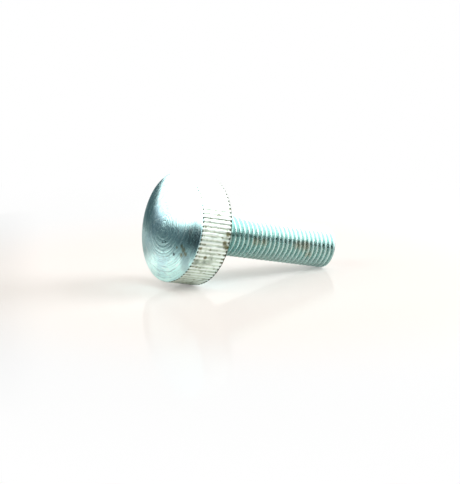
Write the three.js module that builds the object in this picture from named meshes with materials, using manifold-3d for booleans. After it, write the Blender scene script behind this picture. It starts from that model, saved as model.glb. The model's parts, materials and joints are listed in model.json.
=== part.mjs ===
// Locking screw: a thumb screw turned from one steel bar. Its thick head has a straight-knurled rim
// and a crowned face, and a fine right-hand thread runs along the shank to a flat, chamfered tip.
//
// Everything is in millimetres. The screw is made in its own frame: its axis is Z, the seat under
// its head is at z = 0, the shank stands above the seat and the crown bulges below. It is then laid
// down as it rests on a flat surface, on two teeth at the back of the rim and on the end of the
// thread. In the finished frame +Z is up, the surface is z = 0, +X runs from the head to the tip, and
// the origin is on the surface under the middle of the screw.

import * as THREE from "three";
import { mergeVertices } from "three/addons/utils/BufferGeometryUtils.js";
import Module from "manifold-3d";

const wasm = await Module();
wasm.setup();

// Driving dimensions: an M10 x 1.25 fine thread under a 25 mm head
const THREAD_DIAMETER = 10;
const THREAD_PITCH = 1.25;
const SHANK_LENGTH = 35.5;
const TIP_CHAMFER = 0.4;
const NECK_DIAMETER = 8;
const NECK_LENGTH = 3;
const NECK_FILLET = 0.5;
const HEAD_DIAMETER = 25;
const RIM_LENGTH = 8;
const CROWN_HEIGHT = 2.2;
const RIM_EDGE_BREAK = 0.25;
const KNURL_TEETH = 80;
const KNURL_DEPTH = 0.3;
const KNURL_GROOVE_ANGLE = Math.PI / 3;
// The height above the seat at which a crest crosses the line that faces the surface
const CREST_OFFSET = 0.34;

// Metric thread form: each flank leans 30 degrees, and its depth and crest are shares of the pitch
const FLANK_ANGLE = Math.PI / 6;
const DEPTH_PER_PITCH = 0.6134;
const CREST_PER_PITCH = 0.125;
const THREAD_DEPTH = DEPTH_PER_PITCH * THREAD_PITCH;
const CREST_WIDTH = CREST_PER_PITCH * THREAD_PITCH;
const FLANK_RUN = THREAD_DEPTH * Math.tan(FLANK_ANGLE);

const THREAD_RADIUS = THREAD_DIAMETER / 2;
const NECK_RADIUS = NECK_DIAMETER / 2;
const HEAD_RADIUS = HEAD_DIAMETER / 2;
const TOOTH_ANGLE = (2 * Math.PI) / KNURL_TEETH;
const GROOVE_HALF_WIDTH = KNURL_DEPTH * Math.tan(KNURL_GROOVE_ANGLE / 2);
const GROOVE_HALF_ANGLE = Math.asin(GROOVE_HALF_WIDTH / HEAD_RADIUS);

// Steps that a curved surface is divided into
const STEPS_PER_TURN = 32;
const CROWN_STEPS = 8;
const LAND_STEPS = 3;
const FILLET_STEPS = 3;

// How far one solid runs past another that cuts it, so that no two of their faces coincide
const OVERRUN = 1;
const OVERRUN_TURNS = 2;

// Corners nearer to each other than this are one corner
const MERGE_DISTANCE = 1e-4;

function solidOf(geometry) {
  const bare = geometry.clone();
  bare.deleteAttribute("normal");
  bare.deleteAttribute("uv");
  const merged = mergeVertices(bare, MERGE_DISTANCE);
  return new wasm.Manifold(
    new wasm.Mesh({
      numProp: 3,
      vertProperties: merged.attributes.position.array,
      triVerts: new Uint32Array(merged.index.array),
    }),
  );
}

function geometryOf(solid) {
  const mesh = solid.getMesh();
  const geometry = new THREE.BufferGeometry();
  geometry.setAttribute("position", new THREE.BufferAttribute(mesh.vertProperties, 3));
  geometry.setIndex(new THREE.BufferAttribute(mesh.triVerts, 1));
  return geometry;
}

// The crown is a shallow dome, part of a sphere that meets the rim's full radius
function crownProfile() {
  const sphereRadius = (HEAD_RADIUS ** 2 + CROWN_HEIGHT ** 2) / (2 * CROWN_HEIGHT);
  const sphereCentre = sphereRadius - CROWN_HEIGHT - RIM_LENGTH;
  const edgeAngle = Math.asin((HEAD_RADIUS - RIM_EDGE_BREAK) / sphereRadius);
  const points = [];
  for (let step = 0; step <= CROWN_STEPS; step++) {
    const angle = (edgeAngle * step) / CROWN_STEPS;
    const radius = sphereRadius * Math.sin(angle);
    points.push(new THREE.Vector2(radius, sphereCentre - sphereRadius * Math.cos(angle)));
  }
  return points;
}

function neckFilletProfile() {
  const points = [];
  for (let step = 0; step <= FILLET_STEPS; step++) {
    const angle = ((Math.PI / 2) * step) / FILLET_STEPS;
    const radius = NECK_RADIUS + NECK_FILLET * (1 - Math.sin(angle));
    points.push(new THREE.Vector2(radius, NECK_FILLET * (1 - Math.cos(angle))));
  }
  return points;
}

// The turned blank. It is oversize where the knurl and the thread set the final diameter, and its
// 45 degree edges run on out through the teeth and the crests.
function turnedBlank() {
  const crown = crownProfile();
  const rimOversize = HEAD_RADIUS + OVERRUN;
  const rimSlant = OVERRUN + RIM_EDGE_BREAK;
  const barOversize = THREAD_RADIUS + OVERRUN;
  const profile = [
    ...crown,
    new THREE.Vector2(rimOversize, crown.at(-1).y + rimSlant),
    new THREE.Vector2(rimOversize, -rimSlant),
    new THREE.Vector2(HEAD_RADIUS - RIM_EDGE_BREAK, 0),
    ...neckFilletProfile(),
    new THREE.Vector2(NECK_RADIUS, NECK_LENGTH - (THREAD_RADIUS - NECK_RADIUS)),
    new THREE.Vector2(barOversize, NECK_LENGTH + OVERRUN),
    new THREE.Vector2(barOversize, SHANK_LENGTH - TIP_CHAMFER - OVERRUN),
    new THREE.Vector2(THREAD_RADIUS - TIP_CHAMFER, SHANK_LENGTH),
    new THREE.Vector2(0, SHANK_LENGTH),
  ];
  const blank = new THREE.LatheGeometry(profile, KNURL_TEETH);
  return solidOf(blank.rotateX(Math.PI / 2));
}

// A bar with the knurl's section: V grooves cut into the rim's diameter, which leave a land on top of
// each tooth
function knurledBar() {
  const corners = [];
  const addCorner = (radius, angle) => {
    corners.push(new THREE.Vector2(radius * Math.cos(angle), radius * Math.sin(angle)));
  };
  const grooveRadius = HEAD_RADIUS * Math.cos(GROOVE_HALF_ANGLE) - KNURL_DEPTH;
  const landAngle = TOOTH_ANGLE - 2 * GROOVE_HALF_ANGLE;
  for (let tooth = 0; tooth < KNURL_TEETH; tooth++) {
    const groove = tooth * TOOTH_ANGLE;
    addCorner(grooveRadius, groove);
    for (let step = 0; step <= LAND_STEPS; step++) {
      addCorner(HEAD_RADIUS, groove + GROOVE_HALF_ANGLE + (landAngle * step) / LAND_STEPS);
    }
  }
  const section = new THREE.Shape(corners);
  const length = CROWN_HEIGHT + RIM_LENGTH + 2 * OVERRUN;
  const bar = new THREE.ExtrudeGeometry(section, { depth: length, bevelEnabled: false });
  return solidOf(bar.translate(0, 0, OVERRUN - length));
}

// A bar with the thread along it. The section of one pitch is carried along a right-hand helix, so
// that the end of each turn's section meets the start of the next, and the two ends are closed by
// fans of triangles from the axis.
function threadedBar() {
  const section = [
    [THREAD_RADIUS - THREAD_DEPTH, -CREST_WIDTH / 2 - FLANK_RUN],
    [THREAD_RADIUS, -CREST_WIDTH / 2],
    [THREAD_RADIUS, CREST_WIDTH / 2],
    [THREAD_RADIUS - THREAD_DEPTH, CREST_WIDTH / 2 + FLANK_RUN],
  ];
  const [first, ...others] = section.keys();
  const lastPoint = others.at(-1);
  const firstTurn = -OVERRUN_TURNS;
  const turns = Math.ceil(SHANK_LENGTH / THREAD_PITCH) + 2 * OVERRUN_TURNS;
  const lastStep = turns * STEPS_PER_TURN;

  const positions = [];
  for (let step = 0; step <= lastStep; step++) {
    const turn = firstTurn + step / STEPS_PER_TURN;
    const angle = 2 * Math.PI * turn;
    const height = CREST_OFFSET + THREAD_PITCH * turn;
    for (const [radius, rise] of section) {
      positions.push(radius * Math.cos(angle), radius * Math.sin(angle), height + rise);
    }
  }
  const vertex = (step, point) => step * section.length + point;

  const triangles = [];
  const quad = (a, b, c, d) => triangles.push(a, b, c, a, c, d);
  for (let step = 0; step < lastStep; step++) {
    for (const point of others) {
      quad(
        vertex(step, point - 1),
        vertex(step + 1, point - 1),
        vertex(step + 1, point),
        vertex(step, point),
      );
    }
    const nextTurn = step + STEPS_PER_TURN;
    if (nextTurn < lastStep) {
      quad(
        vertex(step, lastPoint),
        vertex(step + 1, lastPoint),
        vertex(nextTurn + 1, first),
        vertex(nextTurn, first),
      );
    }
  }

  const closeEnd = (rim, height) => {
    const centre = positions.length / 3;
    positions.push(0, 0, height);
    rim.forEach((corner, index) => {
      triangles.push(corner, rim[(index + 1) % rim.length], centre);
    });
  };
  const startRim = section.map((_, point) => vertex(0, point));
  for (let step = STEPS_PER_TURN; step > 0; step--) startRim.push(vertex(step, first));
  closeEnd(startRim, CREST_OFFSET + THREAD_PITCH * firstTurn);
  const endRim = [];
  for (let step = lastStep - STEPS_PER_TURN; step < lastStep; step++) {
    endRim.push(vertex(step, lastPoint));
  }
  for (const point of [...section.keys()].reverse()) endRim.push(vertex(lastStep, point));
  closeEnd(endRim, CREST_OFFSET + THREAD_PITCH * (firstTurn + turns));

  const bar = new THREE.BufferGeometry();
  bar.setAttribute("position", new THREE.Float32BufferAttribute(positions, 3));
  bar.setIndex(triangles);
  return solidOf(bar);
}

// The angle at which the axis dips towards the tip when the screw lies on a flat surface: it turns
// about the back of the rim until the first corner of the thread touches down. Both meet the surface
// on the line at angle 0, which is along +X in the screw's own frame.
function restTilt(geometry) {
  const rimDrop = HEAD_RADIUS * Math.cos(GROOVE_HALF_ANGLE);
  const corners = geometry.getAttribute("position");
  let tilt = Math.PI / 2;
  for (let corner = 0; corner < corners.count; corner++) {
    const height = corners.getZ(corner);
    if (height > NECK_LENGTH) {
      const dip = Math.atan2(rimDrop - corners.getX(corner), height + RIM_EDGE_BREAK);
      tilt = Math.min(tilt, dip);
    }
  }
  return tilt;
}

const zincPlatedSteel = new THREE.MeshStandardMaterial({
  color: 0xbfcaca,
  metalness: 1,
  roughness: 0.3,
  flatShading: true,
});

const screwSolid = turnedBlank().intersect(knurledBar().add(threadedBar()));
const screwGeometry = geometryOf(screwSolid);
const screw = new THREE.Mesh(screwGeometry, zincPlatedSteel);
screw.name = "locking_screw";
screw.rotation.y = Math.PI / 2 + restTilt(screwGeometry);

const part = new THREE.Group();
part.add(screw);

const box = new THREE.Box3().setFromObject(part, true);
const middle = box.getCenter(new THREE.Vector3());
screw.position.set(-middle.x, -middle.y, -box.min.z);

export default part;
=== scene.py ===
# Locking screw: a knurled, zinc-plated thumb screw lying on a glossy white table. One piece, the
# turned screw, stands for the whole CAD solid. It is cut as the real one is: a turned blank, and a
# bar that carries the knurl and the thread.
#
# Shape sizes are in millimetres in the screw's own frame: its axis is Z, the seat under its head is
# at z = 0, the shank is above it and the crown below. The finished piece is in metres, and the
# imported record's mounts say where it lies.

import json
import math

import bpy
import numpy as np
from mathutils import Matrix, Vector


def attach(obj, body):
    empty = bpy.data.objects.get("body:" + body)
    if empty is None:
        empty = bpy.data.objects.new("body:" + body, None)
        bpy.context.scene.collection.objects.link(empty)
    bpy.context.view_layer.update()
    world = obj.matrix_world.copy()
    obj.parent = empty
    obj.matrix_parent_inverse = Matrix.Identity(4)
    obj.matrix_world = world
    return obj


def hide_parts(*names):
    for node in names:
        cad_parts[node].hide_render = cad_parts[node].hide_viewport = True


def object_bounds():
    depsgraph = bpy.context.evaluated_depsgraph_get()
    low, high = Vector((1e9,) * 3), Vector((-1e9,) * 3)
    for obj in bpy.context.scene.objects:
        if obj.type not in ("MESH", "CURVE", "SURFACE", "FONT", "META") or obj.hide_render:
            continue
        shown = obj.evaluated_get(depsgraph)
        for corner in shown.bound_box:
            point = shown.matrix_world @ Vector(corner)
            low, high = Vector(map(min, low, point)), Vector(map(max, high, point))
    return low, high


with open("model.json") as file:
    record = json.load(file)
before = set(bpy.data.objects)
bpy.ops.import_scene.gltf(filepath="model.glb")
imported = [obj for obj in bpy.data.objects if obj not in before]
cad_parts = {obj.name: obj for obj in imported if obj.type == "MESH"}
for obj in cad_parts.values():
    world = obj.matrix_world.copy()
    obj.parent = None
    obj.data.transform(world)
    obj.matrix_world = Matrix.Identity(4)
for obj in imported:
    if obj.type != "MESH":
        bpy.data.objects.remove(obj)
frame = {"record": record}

MM = 0.001
CAD_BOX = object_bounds()
MOUNTS = {mount["name"]: mount for mount in frame["record"]["mounts"]}

# The screw's sizes, as in the CAD model
THREAD_RADIUS = 5.0
THREAD_PITCH = 1.25
THREAD_DEPTH = 0.6134 * THREAD_PITCH
FLANK_ANGLE = math.radians(30)
CREST_OFFSET = 0.34
TIP_CHAMFER = 0.4
NECK_RADIUS = 4.0
NECK_LENGTH = 3.0
NECK_FILLET = 0.5
RIM_LENGTH = 8.0
RIM_EDGE_BREAK = 0.25
CROWN_HEIGHT = 2.2
KNURL_TEETH = 80

# How far the teeth stay inside the CAD model's box
BOX_CLEARANCE = 0.006

# What the finer mesh adds: a rounded edge between crown and rim, turning rings on the crown, and a
# soft, uneven knurl, which is shallower than the CAD model's because the photo shows it so
EDGE_RADIUS = 0.22
EDGE_SWEEP = math.radians(62)
TIP_LAND = 0.3
TOOL_RING_SHARES = (0.088, 0.188, 0.25, 0.348, 0.488, 0.53)
TOOL_RING_DEPTH = 0.013
TOOL_RING_WIDTH = 0.15
TOOL_RING_WANDER = 0.07
TOOL_RING_UNEVEN = 0.45
FIRST_RING_TURN = -2.4
TOOL_RING_TURN = 0.6
KNURL_DEPTH = 0.13
GROOVE_FLOOR = 0.07
GROOVE_FLANK = 0.26
CREST_START = 0.34
CREST_DROP = 0.028
DEPTH_SPREAD = (-0.16, 0.1)
LAND_WEAR = 0.025
DENT_DEPTH = 0.05

# How finely the mesh is divided. The crown's rings crowd towards its middle, and the knurl's
# stations are distances from a groove's middle.
BLANK_SEGMENTS = 288
CROWN_RINGS = 120
CROWN_CROWDING = 1.25
EDGE_STEPS = 5
FILLET_STEPS = 6
KNURL_STATIONS = (0.0, 0.07, 0.13, 0.2, 0.27, 0.33, 0.37, 0.43)
KNURL_ROWS = 22
THREAD_STEPS = 72
SHARP_ANGLE = math.radians(32)

# How far one solid runs past another that cuts it
OVERRUN = 1.0
OVERRUN_TURNS = 2


# ---------------------------------------------------------------- Where the screw lies

def screw_placement():
    """The screw's own frame in the row frame, its shank length and its head radius."""
    axis = Vector(MOUNTS["tip"]["axis"]).normalized()
    tip = Vector(MOUNTS["tip"]["pos_m"])
    shank_length = (tip - Vector(MOUNTS["seat"]["pos_m"])).dot(axis)
    seat_centre = tip - axis * shank_length
    side = Vector((0, 1, 0))
    down = side.cross(axis)
    placement = Matrix((down, side, axis)).transposed().to_4x4()
    placement.translation = seat_centre
    head_radius = (CAD_BOX[1].y - CAD_BOX[0].y) / 2 / MM - BOX_CLEARANCE
    return placement, shank_length / MM, head_radius


PLACEMENT, SHANK_LENGTH, HEAD_RADIUS = screw_placement()


# ---------------------------------------------------------------- Shape

def mesh_object(name, points, faces, material_index):
    mesh = bpy.data.meshes.new(name)
    mesh.from_pydata([tuple(point) for point in points], [], faces)
    mesh.polygons.foreach_set("material_index", [material_index] * len(mesh.polygons))
    mesh.validate()
    piece = bpy.data.objects.new(name, mesh)
    bpy.context.scene.collection.objects.link(piece)
    return piece


def grid_faces(rows, columns):
    """Quads between the rows of a grid whose columns close on themselves."""
    faces = []
    for row in range(rows - 1):
        for column in range(columns):
            following = (column + 1) % columns
            faces.append((
                row * columns + column,
                row * columns + following,
                (row + 1) * columns + following,
                (row + 1) * columns + column,
            ))
    return faces


def capped_grid(name, grid, material_index):
    """A closed solid from a grid of points, rows by columns, that is capped at the axis."""
    rows, columns, _ = grid.shape
    start = [0, 0, grid[0, :, 2].mean()]
    end = [0, 0, grid[-1, :, 2].mean()]
    points = np.vstack([grid.reshape(-1, 3), [start, end]])
    faces = grid_faces(rows, columns)
    last_row = (rows - 1) * columns
    for column in range(columns):
        following = (column + 1) % columns
        faces.append((following, column, rows * columns))
        faces.append((last_row + column, last_row + following, rows * columns + 1))
    return mesh_object(name, points, faces, material_index)


def arc(centre, radius, start, end, steps):
    """Points (radius, height) of an arc in the profile's plane."""
    across, along = centre
    points = []
    for angle in np.linspace(start, end, steps + 1):
        points.append((across + radius * math.sin(angle), along - radius * math.cos(angle)))
    return points


def crown_dip(radius, angles):
    """How far the turning tool's rings sink the crown. No ring is quite central or quite even."""
    dip = 0.0
    for index, share in enumerate(TOOL_RING_SHARES):
        lean = np.cos(angles - FIRST_RING_TURN - TOOL_RING_TURN * index)
        away = (radius - share * HEAD_RADIUS - TOOL_RING_WANDER * lean) / TOOL_RING_WIDTH
        evenness = 1 - TOOL_RING_UNEVEN + TOOL_RING_UNEVEN * lean
        dip = dip + evenness * np.exp(-(away ** 2))
    return TOOL_RING_DEPTH * dip


def crown_profile():
    """The crown from its middle outwards, then the rounded edge that it shares with the rim."""
    sphere = (HEAD_RADIUS ** 2 + CROWN_HEIGHT ** 2) / (2 * CROWN_HEIGHT)
    centre = sphere - CROWN_HEIGHT - RIM_LENGTH
    edge_start = math.asin((HEAD_RADIUS - EDGE_RADIUS) / sphere)
    points = []
    shares = np.linspace(0, 1, CROWN_RINGS + 1) ** CROWN_CROWDING
    for radius in sphere * math.sin(edge_start) * shares:
        points.append((radius, centre - math.sqrt(sphere ** 2 - radius ** 2)))
    edge_middle = (
        points[-1][0] - EDGE_RADIUS * math.sin(edge_start),
        points[-1][1] + EDGE_RADIUS * math.cos(edge_start),
    )
    return points + arc(edge_middle, EDGE_RADIUS, edge_start, EDGE_SWEEP, EDGE_STEPS)[1:]


def rim_profile(edge_radius, edge_height):
    """From the crown's edge out past the teeth, and back to the seat's rim."""
    oversize = HEAD_RADIUS + OVERRUN
    return [
        (oversize, edge_height + (oversize - edge_radius) * math.tan(EDGE_SWEEP)),
        (oversize, -OVERRUN - RIM_EDGE_BREAK),
        (HEAD_RADIUS - 0.5 * RIM_EDGE_BREAK, -0.5 * RIM_EDGE_BREAK),
        (HEAD_RADIUS - RIM_EDGE_BREAK, 0.0),
    ]


def shank_profile():
    """The neck with its fillet, the clearance round the thread, and the chamfered tip."""
    points = []
    for angle in np.linspace(0, math.pi / 2, FILLET_STEPS + 1):
        radius = NECK_RADIUS + NECK_FILLET * (1 - math.sin(angle))
        points.append((radius, NECK_FILLET * (1 - math.cos(angle))))
    oversize = THREAD_RADIUS + OVERRUN
    tip_radius = THREAD_RADIUS - TIP_CHAMFER
    return points + [
        (NECK_RADIUS, NECK_LENGTH - (THREAD_RADIUS - NECK_RADIUS)),
        (oversize, NECK_LENGTH + OVERRUN),
        (oversize, SHANK_LENGTH - TIP_CHAMFER - OVERRUN),
        (tip_radius, SHANK_LENGTH),
        (tip_radius - TIP_LAND, SHANK_LENGTH),
    ]


def turned_blank():
    """The turned bar, oversize where the knurl and the thread set the final diameter."""
    crown = crown_profile()
    rings = np.array(crown[1:] + rim_profile(*crown[-1]) + shank_profile())
    angles = np.linspace(0, 2 * math.pi, BLANK_SEGMENTS, endpoint=False)
    grid = np.empty((len(rings), BLANK_SEGMENTS, 3))
    grid[:, :, 0] = rings[:, :1] * np.cos(angles)
    grid[:, :, 1] = rings[:, :1] * np.sin(angles)
    grid[:, :, 2] = rings[:, 1:]
    grid[:CROWN_RINGS, :, 2] += crown_dip(rings[:CROWN_RINGS, :1], angles)
    blank = capped_grid("turned_screw", grid, 0)
    crown_middle = blank.data.vertices[len(rings) * BLANK_SEGMENTS]
    crown_middle.co.z = crown[0][1]
    return blank


def knurled_bar():
    """A bar with the straight knurl: grooves that a wheel rolled in, never quite alike."""
    across = np.array(KNURL_STATIONS)
    pitch = 2 * math.pi * HEAD_RADIUS / KNURL_TEETH
    offsets = np.concatenate([across, pitch - across[:0:-1]])
    tooth = np.repeat(np.arange(KNURL_TEETH), len(offsets))
    offset = np.tile(offsets, KNURL_TEETH)
    angles = (tooth + offset / pitch) * 2 * math.pi / KNURL_TEETH
    from_groove = np.minimum(offset, pitch - offset)
    groove = 1 - np.clip((from_groove - GROOVE_FLOOR) / GROOVE_FLANK, 0, 1)
    crest = np.clip((from_groove - CREST_START) / (pitch / 2 - CREST_START), 0, 1)
    heights = np.linspace(-RIM_LENGTH - CROWN_HEIGHT - OVERRUN, OVERRUN, KNURL_ROWS)

    random = np.random.default_rng(7)
    depth_of_groove = KNURL_DEPTH * (1 + random.uniform(*DEPTH_SPREAD, KNURL_TEETH))
    wear_of_tooth = random.uniform(0.0, LAND_WEAR, KNURL_TEETH)
    nearest = np.round(angles / (2 * math.pi / KNURL_TEETH)).astype(int) % KNURL_TEETH
    dents = random.uniform(0, 1, (KNURL_ROWS, KNURL_TEETH)) ** 4 * DENT_DEPTH

    grid = np.empty((KNURL_ROWS, len(angles), 3))
    for row, height in enumerate(heights):
        worn = wear_of_tooth[tooth] + dents[row][tooth] + CREST_DROP * (1 - crest)
        radius = HEAD_RADIUS - depth_of_groove[nearest] * groove - worn * (1 - groove)
        grid[row, :, 0] = radius * np.cos(angles)
        grid[row, :, 1] = radius * np.sin(angles)
        grid[row, :, 2] = height
    return capped_grid("knurled_bar", grid, 1)


def thread_section():
    """One pitch of the thread as (radius, rise along the axis), from root to root, with its
    crest and root a little rounded."""
    crest_half = THREAD_PITCH / 16
    run = THREAD_DEPTH * math.tan(FLANK_ANGLE)
    share_of_depth_and_rise = (
        (0.0, 0.0),
        (0.012, 0.7 * crest_half),
        (0.055, 1.15 * crest_half),
        (0.12, crest_half + 0.12 * run),
        (0.5, crest_half + 0.5 * run),
        (0.88, crest_half + 0.88 * run),
        (0.97, crest_half + run),
        (1.0, THREAD_PITCH / 2),
    )
    above = [(THREAD_RADIUS - THREAD_DEPTH * share, rise) for share, rise in share_of_depth_and_rise]
    below = [(radius, -rise) for radius, rise in above[:0:-1]]
    return (below + above)[:-1]


def threaded_bar():
    """A bar with the right-hand thread, its section carried along a helix."""
    section = thread_section()
    count = len(section)
    turns = math.ceil(SHANK_LENGTH / THREAD_PITCH) + 2 * OVERRUN_TURNS
    last_step = turns * THREAD_STEPS
    points = []
    for step in range(last_step + 1):
        turn = step / THREAD_STEPS - OVERRUN_TURNS
        cosine = math.cos(2 * math.pi * turn)
        sine = math.sin(2 * math.pi * turn)
        height = CREST_OFFSET + THREAD_PITCH * turn
        points += [(radius * cosine, radius * sine, height + rise) for radius, rise in section]

    def vertex(step, point):
        return step * count + point

    faces = []
    for step in range(last_step):
        for point in range(1, count):
            faces.append((
                vertex(step, point - 1),
                vertex(step + 1, point - 1),
                vertex(step + 1, point),
                vertex(step, point),
            ))
        beyond = step + THREAD_STEPS
        if beyond < last_step:
            faces.append((
                vertex(step, count - 1),
                vertex(step + 1, count - 1),
                vertex(beyond + 1, 0),
                vertex(beyond, 0),
            ))

    start_rim = [vertex(0, point) for point in range(count)]
    start_rim += [vertex(step, 0) for step in range(THREAD_STEPS, 0, -1)]
    end_rim = [vertex(step, count - 1) for step in range(last_step - THREAD_STEPS, last_step)]
    end_rim += [vertex(last_step, point) for point in range(count - 1, -1, -1)]
    for rim, turn in ((start_rim, -OVERRUN_TURNS), (end_rim, turns - OVERRUN_TURNS)):
        centre = len(points)
        points.append((0, 0, CREST_OFFSET + THREAD_PITCH * turn))
        for index, corner in enumerate(rim):
            faces.append((corner, rim[(index + 1) % len(rim)], centre))
    return mesh_object("threaded_bar", points, faces, 2)


def boolean(piece, operation, other):
    modifier = piece.modifiers.new(operation, "BOOLEAN")
    modifier.operation = operation
    modifier.solver = "MANIFOLD"
    modifier.object = other


def turned_screw(materials):
    """The finished screw. Its faces keep the material of the solid that each was cut from."""
    blank, knurl, thread = turned_blank(), knurled_bar(), threaded_bar()
    for piece in (blank, knurl, thread):
        for material in materials:
            piece.data.materials.append(material)
    boolean(knurl, "UNION", thread)
    boolean(blank, "INTERSECT", knurl)
    depsgraph = bpy.context.evaluated_depsgraph_get()
    mesh = bpy.data.meshes.new_from_object(blank.evaluated_get(depsgraph))
    for piece in (blank, knurl, thread):
        bpy.data.objects.remove(piece)

    mesh.transform(PLACEMENT @ Matrix.Scale(MM, 4))
    mesh.name = "turned_screw"
    mesh.polygons.foreach_set("use_smooth", [True] * len(mesh.polygons))
    mesh.set_sharp_from_angle(angle=SHARP_ANGLE)
    screw = bpy.data.objects.new("turned_screw", mesh)
    bpy.context.scene.collection.objects.link(screw)
    return screw


# ---------------------------------------------------------------- Materials

# Colours of the plating where it is bright, of what dulls or marks it, and of the painted shade and
# painted highlight in its grooves, on its lower front and on the thread. A pair is the two ends of a
# mottle.
CROWN_ZINC = ((0.54, 0.85, 0.85, 1), (0.61, 0.93, 0.92, 1))
CROWN_PATCH = (0.38, 0.60, 0.72, 1)
RING_SHADE = (0.34, 0.52, 0.55, 1)
SCRATCH_SHADE = (0.28, 0.44, 0.48, 1)
SCRATCH_SHINE = (0.80, 0.98, 0.95, 1)
GRAIN_SHADE = (0.30, 0.46, 0.48, 1)
TIP_GREY = (0.36, 0.34, 0.31, 1)
# Darker at the rim's rear edge, next to the seat
REAR_EDGE_DARK = (0.08, 0.09, 0.07, 1)
# Painted shade on the crown's lower front
CROWN_LOW_SHADE = (0.28, 0.43, 0.45, 1)
CROWN_BROWN = (0.28, 0.28, 0.15, 1)
PIT_BLACK = (0.01, 0.02, 0.02, 1)
LAND_ZINC = ((0.84, 0.93, 0.90, 1), (0.75, 0.85, 0.82, 1))
# Painted shade in the knurl's grooves: their zinc is darker than the lands'
GROOVE_SHADE_ZINC = ((0.62, 0.72, 0.63, 1), (0.38, 0.46, 0.38, 1))
# Painted shade at the groove ends, where they run out at the rim's front and rear edges
GROOVE_END_SHADE = (0.01, 0.02, 0.01, 1)
GROOVE_DIRT = (0.15, 0.16, 0.10, 1)
# Painted shade on the rim's lower front
RIM_LOW_SHADE = ((0.48, 0.57, 0.50, 1), (0.20, 0.26, 0.21, 1))
RIM_BROWN = (0.11, 0.10, 0.03, 1)
CREST_ZINC = ((0.49, 0.64, 0.62, 1), (0.42, 0.56, 0.54, 1))
# Painted shade on the thread's flanks, and a painted highlight at its roots
FLANK_SHADE_ZINC = (0.31, 0.46, 0.44, 1)
ROOT_HIGHLIGHT_ZINC = (0.54, 0.73, 0.67, 1)
THREAD_BROWN = (0.34, 0.25, 0.15, 1)
SPECK_BLACK = (0.03, 0.05, 0.04, 1)

# How fast the brushed noise changes on the way round the axis
BRUSH_TURN_SCALE = 3.5

# Marks on the plating, and spots of painted shade, each a place in the screw's own frame and a size
CROWN_PITS = [((5.55, -5.0, -9.4), 0.5), ((3.4, -1.6, -10.0), 0.3), ((3.65, -0.4, -10.0), 0.3)]
CROWN_STAINS = [((3.4, -7.4, -9.3), 0.65), ((4.1, -8.0, -9.1), 0.8), ((5.3, -7.4, -9.0), 0.65),
                ((4.9, -8.7, -8.8), 0.65), ((3.9, -5.9, -9.5), 0.4)]
# Spots of painted shade on the crown's lower front
CROWN_LOW_SHADE_SPOTS = [((5.8, -8.6, -8.7), 1.9), ((7.4, -8.6, -8.3), 1.8)]
RIM_STAINS = [((-1.0, -12.4, -1.0), 0.8), ((1.9, -12.3, -0.9), 0.9), ((1.1, -12.4, -1.4), 0.8),
              ((2.9, -12.1, -7.3), 0.5), ((4.9, -11.4, -5.3), 0.6)]
# Spots of painted shade on the rim's lower front
RIM_LOW_SHADE_SPOTS = [((6.2, -10.8, -7.0), 1.4), ((6.2, -10.8, -5.2), 1.4), ((5.6, -11.1, -3.5), 1.2)]
THREAD_STAINS = [((0.5, -4.9, 12.4), 1.6), ((0.5, -4.9, 14.6), 1.4), ((0.1, -4.9, 24.2), 1.6),
                 ((0.1, -4.9, 26.6), 1.8), ((2.1, -4.4, 28.0), 1.3)]
THREAD_SPECKS = [((1.9, -4.5, 9.15), 0.4), ((3.2, -3.7, 9.15), 0.4), ((-3.1, -3.8, 24.4), 0.4)]


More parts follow.
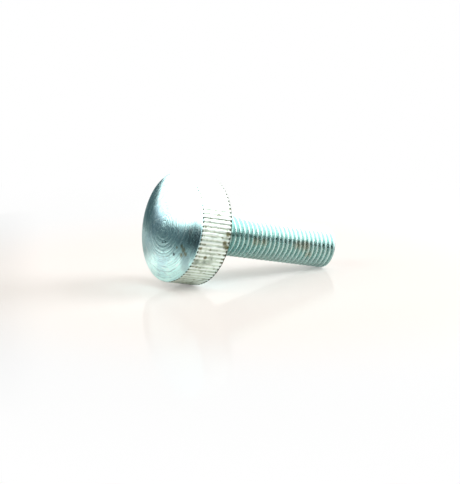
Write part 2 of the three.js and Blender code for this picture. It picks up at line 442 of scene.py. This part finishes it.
class Nodes:
    """A short way to write a material's node tree. Each call adds its nodes and links them."""

    def __init__(self, tree):
        self.tree = tree

    def add(self, kind, inputs=None, **settings):
        node = self.tree.nodes.new(kind)
        for name, value in settings.items():
            setattr(node, name, value)
        for key, value in (inputs or {}).items():
            self.feed(node.inputs[key], value)
        return node

    def feed(self, socket, value):
        if isinstance(value, bpy.types.NodeSocket):
            self.tree.links.new(value, socket)
        else:
            socket.default_value = value

    def math(self, operation, *values):
        node = self.add("ShaderNodeMath", operation=operation)
        for socket, value in zip(node.inputs, values):
            self.feed(socket, value)
        return node.outputs[0]

    def vector(self, operation, *values):
        node = self.add("ShaderNodeVectorMath", operation=operation)
        for socket, value in zip(node.inputs, values):
            self.feed(socket, value)
        return node.outputs[0]

    def distance(self, place, centre):
        node = self.add("ShaderNodeVectorMath", {0: place, 1: centre}, operation="DISTANCE")
        return node.outputs["Value"]

    def noise(self, vector, scale, detail=3.0, roughness=0.55):
        node = self.add("ShaderNodeTexNoise", {
            "Vector": vector, "Scale": scale, "Detail": detail, "Roughness": roughness,
        })
        return node.outputs[0]

    def noise_along(self, value, scale, detail=2.0):
        node = self.add("ShaderNodeTexNoise", {"Scale": 1.0, "Detail": detail}, noise_dimensions="1D")
        self.feed(node.inputs["W"], self.math("MULTIPLY", value, scale))
        return node.outputs[0]

    def remap(self, value, low, high, to_low=0.0, to_high=1.0):
        node = self.add("ShaderNodeMapRange", {
            "Value": value, "From Min": low, "From Max": high, "To Min": to_low, "To Max": to_high,
        }, interpolation_type="SMOOTHSTEP")
        return node.outputs[0]

    def mix_value(self, factor, first, second):
        node = self.add("ShaderNodeMix", {0: factor, 2: first, 3: second}, data_type="FLOAT")
        return node.outputs[0]

    def mix(self, factor, first, second):
        node = self.add("ShaderNodeMix", data_type="RGBA")
        self.feed(node.inputs[0], factor)
        self.feed(node.inputs[6], first)
        self.feed(node.inputs[7], second)
        return node.outputs[2]

    def tinge(self, tint, colour, value, low, high, strength=1.0):
        """The tint with a colour mixed in as a value goes from low to high."""
        return self.mix(self.remap(value, low, high, 0.0, strength), tint, colour)

    def blend(self, tint, colour, amount, strength):
        """The tint with a colour mixed in by an amount, which is scaled by a strength."""
        return self.mix(self.math("MULTIPLY", amount, strength), tint, colour)

    def spot(self, coordinates, centre, size, ragged):
        """1 at a point on the part, falling to 0 about size away from it. Both in millimetres."""
        distance = self.distance(coordinates, [MM * value for value in centre])
        reach = self.math("ADD", distance, self.math("MULTIPLY", ragged, size * MM))
        return self.remap(reach, 1.5 * size * MM, 0.8 * size * MM)

    def stain(self, tint, colour, strength, coordinates, ragged, spots):
        """The tint with a colour mixed in at each spot."""
        for centre, size in spots:
            tint = self.blend(tint, colour, self.spot(coordinates, centre, size, ragged), strength)
        return tint


def new_material(name):
    material = bpy.data.materials.new(name)
    material.use_nodes = True
    tree = material.node_tree
    tree.nodes.clear()
    return material, Nodes(tree)


def show_surface(nodes, shader):
    output = nodes.add("ShaderNodeOutputMaterial")
    nodes.feed(output.inputs["Surface"], shader.outputs[0])


def round_the_axis(nodes):
    """The direction in which the turning tool ran at each point."""
    place = nodes.add("ShaderNodeNewGeometry").outputs["Position"]
    spoke = nodes.vector("SUBTRACT", place, PLACEMENT.translation)
    return nodes.vector("NORMALIZE", nodes.vector("CROSS_PRODUCT", PLACEMENT.col[2].to_3d(), spoke))


def finish_metal(nodes, colour, roughness, relief, strength, depth, anisotropic=0.0):
    """The metal's surface: its relief is a bump of a strength between 0 and 1 and a depth."""
    shader = nodes.add("ShaderNodeBsdfPrincipled", {
        "Base Color": colour,
        "Metallic": 1.0,
        "Roughness": roughness,
        "Anisotropic": anisotropic,
    })
    bump = nodes.add("ShaderNodeBump", {
        "Strength": strength,
        "Distance": depth,
        "Height": relief,
    })
    nodes.feed(shader.inputs["Normal"], bump.outputs[0])
    if anisotropic:
        nodes.feed(shader.inputs["Tangent"], round_the_axis(nodes))
    show_surface(nodes, shader)


def place_on_screw(nodes):
    """Coordinates in the screw's own frame, the distance from its axis and the height, in metres."""
    mapping = nodes.add("ShaderNodeMapping", {
        "Vector": nodes.add("ShaderNodeTexCoord").outputs["Object"],
        "Location": PLACEMENT.translation,
        "Rotation": PLACEMENT.to_euler(),
    }, vector_type="TEXTURE")
    coordinates = mapping.outputs[0]
    x, y, height = nodes.add("ShaderNodeSeparateXYZ", {0: coordinates}).outputs
    squares = nodes.math("ADD", nodes.math("MULTIPLY", x, x), nodes.math("MULTIPLY", y, y))
    return coordinates, nodes.math("SQRT", squares), height


def brushed(nodes, coordinates, distance, finest):
    """Noise drawn out round the axis, as a turning tool leaves it: scratches about finest wide."""
    spoke = nodes.vector("NORMALIZE", nodes.vector("MULTIPLY", coordinates, (1, 1, 0)))
    turn = nodes.vector("MULTIPLY", spoke, (BRUSH_TURN_SCALE, BRUSH_TURN_SCALE, 0))
    reach = nodes.add("ShaderNodeCombineXYZ", {"Z": nodes.math("DIVIDE", distance, finest)})
    return nodes.noise(nodes.vector("ADD", turn, reach.outputs[0]), 1.0, 3.0)


def weighted_sum(nodes, *terms):
    """The sum of values, each given with its weight."""
    total = 0.0
    for value, weight in terms:
        total = nodes.math("ADD", nodes.math("MULTIPLY", value, weight), total)
    return total


def turned_zinc():
    """The crown, the rim's edges, the seat, the neck and the tip: turned, then plated bright, with
    painted shade on the crown's lower front.
    """
    material, nodes = new_material("turned_zinc")
    coordinates, distance, height = place_on_screw(nodes)
    wander = nodes.noise(coordinates, 90.0, 2.0)
    wandering = nodes.math("ADD", distance, nodes.math("MULTIPLY", wander, 0.7 * MM))
    fine_rings = nodes.noise_along(wandering, 9000.0, 3.0)
    broad_rings = nodes.noise_along(wandering, 2600.0, 3.0)
    scratches = brushed(nodes, coordinates, wandering, 0.3 * MM)
    clouds = nodes.noise(coordinates, 260.0, 4.0)
    patches = nodes.noise(coordinates, 95.0, 3.0)
    grain = nodes.noise(coordinates, 1300.0, 3.0)

    tint = nodes.mix(nodes.remap(clouds, 0.35, 0.7), *CROWN_ZINC)
    tint = nodes.tinge(tint, CROWN_PATCH, patches, 0.48, 0.7, 0.6)
    tint = nodes.tinge(tint, RING_SHADE, broad_rings, 0.45, 0.7, 0.35)
    tint = nodes.tinge(tint, SCRATCH_SHADE, scratches, 0.52, 0.68, 0.6)
    tint = nodes.tinge(tint, SCRATCH_SHINE, scratches, 0.46, 0.34, 0.6)
    tint = nodes.tinge(tint, GRAIN_SHADE, grain, 0.55, 0.72, 0.45)
    # The rim's rear edge, next to the seat, is made darker
    rim = nodes.remap(distance, (HEAD_RADIUS - 0.35) * MM, (HEAD_RADIUS - 0.25) * MM)
    back = nodes.remap(height, -0.6 * MM, -0.3 * MM)
    tint = nodes.blend(tint, REAR_EDGE_DARK, nodes.math("MULTIPLY", rim, back), 0.9)
    tint = nodes.tinge(tint, TIP_GREY, height, (SHANK_LENGTH - 0.5) * MM, (SHANK_LENGTH - 0.3) * MM, 0.8)
    # Painted shade: spots on the crown's lower front are darkened
    tint = nodes.stain(tint, CROWN_LOW_SHADE, 0.7, coordinates, clouds, CROWN_LOW_SHADE_SPOTS)
    tint = nodes.stain(tint, CROWN_BROWN, 0.75, coordinates, clouds, CROWN_STAINS)
    tint = nodes.stain(tint, PIT_BLACK, 0.9, coordinates, grain, CROWN_PITS)

    smooth = nodes.remap(patches, 0.3, 0.7, 0.07, 0.13)
    roughness = nodes.math("ADD", smooth, nodes.remap(fine_rings, 0.3, 0.7, 0.0, 0.05))
    relief = weighted_sum(nodes, (broad_rings, 0.6), (fine_rings, 0.25), (scratches, 0.9))
    finish_metal(nodes, tint, roughness, relief, strength=1.0, depth=0.022 * MM, anisotropic=0.4)
    return material


def knurled_zinc():
    """The rim: rolled, so its lands are coarse, and its grooves hold a little dirt. The grooves, their
    ends and the rim's lower front carry painted shade, and the rim's rear edge is darker.
    """
    material, nodes = new_material("knurled_zinc")
    coordinates, distance, height = place_on_screw(nodes)
    grain = nodes.noise(coordinates, 1500.0, 4.0)
    clouds = nodes.noise(coordinates, 350.0, 4.0)
    flecks = nodes.noise(coordinates, 750.0, 2.0)
    blotches = nodes.noise(coordinates, 550.0, 3.0)
    sunk = nodes.remap(distance, (HEAD_RADIUS - 0.05) * MM, (HEAD_RADIUS - 0.095) * MM)

    tint = nodes.mix(nodes.remap(clouds, 0.35, 0.7), *LAND_ZINC)
    # Painted shade: the grooves are mixed darker than the lands
    groove = nodes.mix(nodes.remap(blotches, 0.38, 0.62), *GROOVE_SHADE_ZINC)
    tint = nodes.blend(tint, groove, sunk, 0.9)
    # Painted shade: the groove ends at the front and rear edges are darkened nearly to black
    front = nodes.remap(height, (0.55 - RIM_LENGTH) * MM, (0.2 - RIM_LENGTH) * MM)
    back = nodes.remap(height, -0.8 * MM, -0.45 * MM)
    ends = nodes.math("MULTIPLY", nodes.math("MAXIMUM", front, back), sunk)
    tint = nodes.blend(tint, GROOVE_END_SHADE, ends, 0.95)
    # The rim's rear edge is made darker
    tint = nodes.tinge(tint, REAR_EDGE_DARK, height, -0.5 * MM, -0.25 * MM, 0.9)
    dirt = nodes.math("MULTIPLY", sunk, nodes.remap(flecks, 0.58, 0.68))
    tint = nodes.blend(tint, GROOVE_DIRT, dirt, 0.8)
    # Painted shade: spots on the rim's lower front are darkened
    low_shade = nodes.mix(nodes.remap(flecks, 0.4, 0.6), *RIM_LOW_SHADE)
    tint = nodes.stain(tint, low_shade, 0.85, coordinates, clouds, RIM_LOW_SHADE_SPOTS)
    tint = nodes.stain(tint, RIM_BROWN, 0.85, coordinates, grain, RIM_STAINS)

    roughness = nodes.remap(grain, 0.3, 0.7, 0.34, 0.5)
    finish_metal(nodes, tint, roughness, grain, strength=0.6, depth=0.05 * MM)
    return material


def threaded_zinc():
    """The thread: crests, painted shade on the flanks, a painted highlight at the roots, and a few
    brown stains and dark specks.
    """
    material, nodes = new_material("threaded_zinc")
    coordinates, distance, _ = place_on_screw(nodes)
    grain = nodes.noise(coordinates, 1800.0, 3.0)
    clouds = nodes.noise(coordinates, 320.0, 4.0)
    sunk = nodes.remap(distance, (THREAD_RADIUS - 0.02) * MM, (THREAD_RADIUS - 0.1) * MM)
    root = nodes.remap(distance, (THREAD_RADIUS - 0.66) * MM, (THREAD_RADIUS - 0.73) * MM)

    tint = nodes.mix(nodes.remap(clouds, 0.35, 0.7), *CREST_ZINC)
    # Painted shade: the flanks are mixed darker than the crests
    tint = nodes.blend(tint, FLANK_SHADE_ZINC, sunk, 0.9)
    # Painted highlight: the roots are mixed lighter
    tint = nodes.blend(tint, ROOT_HIGHLIGHT_ZINC, root, 0.7)
    tint = nodes.stain(tint, THREAD_BROWN, 0.45, coordinates, clouds, THREAD_STAINS)
    tint = nodes.stain(tint, SPECK_BLACK, 0.8, coordinates, grain, THREAD_SPECKS)

    roughness = nodes.remap(grain, 0.3, 0.7, 0.2, 0.32)
    finish_metal(nodes, tint, roughness, grain, strength=0.35, depth=0.03 * MM)
    return material


# ---------------------------------------------------------------- Stage

# Sizes here are in metres in the row frame
CAMERA_TARGET = Vector((-0.0045, 0.0, 0.0087))
CAMERA_DISTANCE = 0.4087
CAMERA_AZIMUTH = math.radians(-33.54)
CAMERA_ELEVATION = math.radians(10.97)
CAMERA_LENS = 132.1

WHITE = (1, 1, 1, 1)
FLOOR_HALF_SIZE = 4.0
FLOOR_NEAR = (0.95, 0.92, 0.88, 1)
FLOOR_FAR = (0.90, 0.96, 1.0, 1)
# Painted shade that only reflections see on the table
FLOOR_REFLECTED_SHADE = (0.30, 0.36, 0.38, 1)
# Where reflections see a painted glow on the table and where they see painted shade on it, each with
# its strength
GLOWS = [((-0.048, 0.023, 0.0), 0.42), ((0.014, -0.014, 0.0), 0.3)]
GLOW_REACH = (0.034, 0.012)
REFLECTED_SHADE_BEHIND = ((-0.005, 0.07, 0.0), 0.65)
REFLECTED_SHADE_BEHIND_REACH = (0.055, 0.025)
# Between which distances from the screw the table turns cool, takes painted shade in reflections, and
# turns into the backdrop for the eye and for reflections
COOL_REACH = (0.045, 0.1)
REFLECTED_SHADE_REACH = (0.05, 0.085)
REFLECTED_SHADE_STRENGTH = 0.4
EYE_REACH = (0.05, 0.15)
EYE_FADE_NEAR = 0.26
MIRROR_REACH = (0.12, 0.4)

CARD_CENTRE_X = -0.018
CARD_FOOT = 0.0005
CARD_STEPS = 24
CARD_FADE = math.radians(10)
# The azimuths in degrees between which the back card turns into its left and its right end, and
# those between which its dark part rises, and by how much
BACK_CARD_LEFT_END = (-57, -72)
BACK_CARD_RIGHT_END = (-22, -8)
BACK_CARD_RISES = (
    (BACK_CARD_LEFT_END, 0.010),
    (BACK_CARD_RIGHT_END, 0.015),
    ((-20, -58), 0.006),
    ((-12, 0), 0.018),
)
# The heights between which a card's colour changes
BACK_CARD_FOOT_REACH = (0.012, 0.003)
BACK_CARD_WHITE_REACH = (0.0195, 0.031)
SIDE_CARD_REACH = (0.03, 0.046)
BACK_CARD_DARK = (0.15, 0.185, 0.20, 1)
BACK_CARD_LEFT = (0.03, 0.045, 0.05, 1)
BACK_CARD_RIGHT = (0.09, 0.13, 0.14, 1)
BACK_CARD_FOOT = (0.23, 0.27, 0.27, 1)
BACK_CARD_WHITE = (2.4, 2.4, 2.4, 1)
SIDE_CARD_COLOURS = ((0.03, 0.055, 0.047, 1), (0.06, 0.10, 0.085, 1))

LAMP_COLOUR = (0.93, 1.0, 1.06)
LAMP_ELEVATION = math.radians(30)
LAMP_DISTANCE = 0.6
LAMP_WIDTH = 0.35
LAMP_HEIGHT = 0.45

FILL_COLOUR = (1.10, 0.93, 0.80, 1)
FILL_STRENGTH = 0.53
# Between which heights of a ray's direction the surround gets brighter, and by how much
SURROUND_RISES = ((0.1, 0.22, 1.2), (0.2, 0.45, 1.2), (0.45, 0.8, 1.6))


def add_camera():
    data = bpy.data.cameras.new("camera")
    data.lens = CAMERA_LENS
    data.clip_start = 0.01
    data.clip_end = 20
    camera = bpy.data.objects.new("camera", data)
    level = math.cos(CAMERA_ELEVATION)
    back = Vector((
        math.sin(CAMERA_AZIMUTH) * level,
        -math.cos(CAMERA_AZIMUTH) * level,
        math.sin(CAMERA_ELEVATION),
    ))
    camera.location = CAMERA_TARGET + back * CAMERA_DISTANCE
    camera.rotation_euler = (-back).to_track_quat("-Z", "Y").to_euler()
    bpy.context.scene.collection.objects.link(camera)
    bpy.context.scene.camera = camera


def floor_glow(nodes, place, mirrored):
    """The light that the table adds in reflections."""
    glow = 0.0
    for centre, strength in GLOWS:
        from_centre = nodes.distance(place, centre)
        glow = nodes.math("ADD", nodes.remap(from_centre, *GLOW_REACH, 0.0, strength), glow)
    return nodes.math("MULTIPLY", mirrored, glow)


def floor_colour(nodes, place, away, mirrored):
    """Warm near the screw and cool away from it, and darkened by painted shade in reflections far off
    and behind.
    """
    colour = nodes.mix(nodes.remap(away, *COOL_REACH), FLOOR_NEAR, FLOOR_FAR)
    # Painted shade: only reflections see the table darker far off and behind the screw
    far_off = nodes.remap(away, *REFLECTED_SHADE_REACH, 0.0, REFLECTED_SHADE_STRENGTH)
    centre, strength = REFLECTED_SHADE_BEHIND
    behind = nodes.remap(nodes.distance(place, centre), *REFLECTED_SHADE_BEHIND_REACH, 0.0, strength)
    reflected_shade = nodes.math("MULTIPLY", mirrored, nodes.math("MAXIMUM", far_off, behind))
    return nodes.mix(reflected_shade, colour, FLOOR_REFLECTED_SHADE)


def floor_fade(nodes, away, path):
    """How far the table has turned into the white backdrop, for the eye and for reflections."""
    eye_fade = nodes.remap(away, *EYE_REACH, EYE_FADE_NEAR, 1.0)
    for_eye = nodes.math("MULTIPLY", path["Is Camera Ray"], eye_fade)
    mirrored = nodes.math("MAXIMUM", path["Is Glossy Ray"], path["Is Transmission Ray"])
    for_mirror = nodes.math("MULTIPLY", mirrored, nodes.remap(away, *MIRROR_REACH))
    return nodes.math("ADD", for_eye, for_mirror)


def add_floor():
    """A glossy white table top, which turns into the plain white backdrop away from the screw."""
    size = FLOOR_HALF_SIZE
    corners = [(-size, -size, 0), (size, -size, 0), (size, size, 0), (-size, size, 0)]
    floor = mesh_object("floor", corners, [(0, 1, 2, 3)], 0)
    material, nodes = new_material("white_gloss")
    path = nodes.add("ShaderNodeLightPath").outputs
    mirrored = path["Is Glossy Ray"]
    place = nodes.add("ShaderNodeTexCoord").outputs["Object"]
    away = nodes.distance(place, (0, 0, 0))
    gloss = nodes.add("ShaderNodeBsdfPrincipled", {
        "Base Color": floor_colour(nodes, place, away, mirrored),
        "Roughness": 0.08,
        "IOR": 1.05,
        "Emission Color": WHITE,
        "Emission Strength": floor_glow(nodes, place, mirrored),
    })
    white = nodes.add("ShaderNodeEmission", {"Color": WHITE, "Strength": 1.0})
    fade = floor_fade(nodes, away, path)
    show_surface(nodes, nodes.add("ShaderNodeMixShader", {
        0: fade, 1: gloss.outputs[0], 2: white.outputs[0],
    }))
    floor.data.materials.append(material)


def card_material(name, start, end, shade_of):
    """A card's own light, which fades out towards its two ends."""
    material, nodes = new_material(name)
    place = nodes.add("ShaderNodeTexCoord").outputs["Object"]
    x, y, up = nodes.add("ShaderNodeSeparateXYZ", {0: place}).outputs
    azimuth = nodes.math("ARCTAN2", nodes.math("SUBTRACT", x, CARD_CENTRE_X), y)
    from_middle = nodes.math("COSINE", nodes.math("SUBTRACT", azimuth, (start + end) / 2))
    half_sweep = (end - start) / 2
    shown = nodes.remap(from_middle, math.cos(half_sweep), math.cos(half_sweep - CARD_FADE))
    colour = shade_of(nodes, nodes.math("DEGREES", azimuth), up)
    clear = nodes.add("ShaderNodeBsdfTransparent")
    lit = nodes.add("ShaderNodeEmission", {"Color": colour, "Strength": 1.0})
    show_surface(nodes, nodes.add("ShaderNodeMixShader", {
        0: shown, 1: clear.outputs[0], 2: lit.outputs[0],
    }))
    return material


def add_card(name, shade_of, radius, start, end, height):
    """A card curved round the screw, that only reflections see. It runs between two azimuths in
    degrees, from +Y to +X. shade_of makes its colour from the nodes, the azimuth and the height
    above the floor."""
    start, end = math.radians(start), math.radians(end)
    points = []
    for azimuth in np.linspace(start, end, CARD_STEPS + 1):
        x = CARD_CENTRE_X + radius * math.sin(azimuth)
        y = radius * math.cos(azimuth)
        points += [(x, y, CARD_FOOT), (x, y, height)]
    corners = range(0, 2 * CARD_STEPS, 2)
    faces = [(corner, corner + 2, corner + 3, corner + 1) for corner in corners]
    card = mesh_object(name, points, faces, 0)
    card.data.materials.append(card_material(name, start, end, shade_of))
    card.visible_camera = False
    card.visible_diffuse = False
    card.visible_shadow = False


def back_card_shade(nodes, azimuth, up):
    """Dark, then fading to white upwards. The dark part reaches higher at both ends of the card."""
    rise = 0.0
    for azimuths, height in BACK_CARD_RISES:
        rise = nodes.math("ADD", nodes.remap(azimuth, *azimuths, 0.0, height), rise)
    dark = nodes.tinge(BACK_CARD_DARK, BACK_CARD_LEFT, azimuth, *BACK_CARD_LEFT_END)
    dark = nodes.tinge(dark, BACK_CARD_RIGHT, azimuth, *BACK_CARD_RIGHT_END)
    dark = nodes.tinge(dark, BACK_CARD_FOOT, up, *BACK_CARD_FOOT_REACH)
    above = nodes.math("SUBTRACT", up, rise)
    return nodes.tinge(dark, BACK_CARD_WHITE, above, *BACK_CARD_WHITE_REACH)


def side_card_shade(nodes, _azimuth, up):
    """Nearly black, and a little paler above."""
    return nodes.tinge(*SIDE_CARD_COLOURS, up, *SIDE_CARD_REACH)


def add_softbox(name, azimuth, radiance):
    """A large area lamp that faces the screw. In Cycles an area lamp's radiance is its energy
    divided by four times its area."""
    data = bpy.data.lights.new(name, "AREA")
    data.color = LAMP_COLOUR
    data.shape = "RECTANGLE"
    data.size = LAMP_WIDTH
    data.size_y = LAMP_HEIGHT
    data.energy = 4 * radiance * LAMP_WIDTH * LAMP_HEIGHT
    lamp = bpy.data.objects.new(name, data)
    azimuth = math.radians(azimuth)
    level = math.cos(LAMP_ELEVATION)
    away = Vector((math.sin(azimuth) * level, math.cos(azimuth) * level, math.sin(LAMP_ELEVATION)))
    lamp.location = away * LAMP_DISTANCE
    lamp.rotation_euler = away.to_track_quat("Z", "Y").to_euler()
    lamp.visible_camera = False
    lamp.visible_glossy = False
    bpy.context.scene.collection.objects.link(lamp)


def add_world():
    """White for the camera, white and brighter overhead for reflections, and a plain even light
    for everything else."""
    world = bpy.data.worlds.new("studio")
    world.use_nodes = True
    world.node_tree.nodes.clear()
    nodes = Nodes(world.node_tree)
    direction = nodes.add("ShaderNodeTexCoord").outputs["Generated"]
    _, _, up = nodes.add("ShaderNodeSeparateXYZ", {0: direction}).outputs
    bright = 1.0
    for low, high, rise in SURROUND_RISES:
        bright = nodes.math("ADD", nodes.remap(up, low, high, 0.0, rise), bright)
    path = nodes.add("ShaderNodeLightPath").outputs
    seen = nodes.math("MAXIMUM", path["Is Camera Ray"], path["Is Glossy Ray"])
    seen = nodes.math("MAXIMUM", seen, path["Is Transmission Ray"])
    background = nodes.add("ShaderNodeBackground", {
        "Color": nodes.mix(seen, FILL_COLOUR, WHITE),
        "Strength": nodes.mix_value(seen, FILL_STRENGTH, bright),
    })
    output = nodes.add("ShaderNodeOutputWorld")
    nodes.feed(output.inputs["Surface"], background.outputs[0])
    world.cycles.sampling_method = "NONE"
    bpy.context.scene.world = world


# ---------------------------------------------------------------- Scene

screw = turned_screw([turned_zinc(), knurled_zinc(), threaded_zinc()])
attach(screw, "root")
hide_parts("locking_screw")

add_floor()
add_card("back_card", back_card_shade, radius=0.11, start=-113, end=12, height=0.066)
add_card("side_card", side_card_shade, radius=0.13, start=87, end=225, height=0.046)
add_softbox("softbox_left", azimuth=-80, radiance=1.6)
add_softbox("softbox_right", azimuth=113, radiance=4.6)
add_world()
add_camera()
bpy.context.scene.view_settings.view_transform = "Standard"
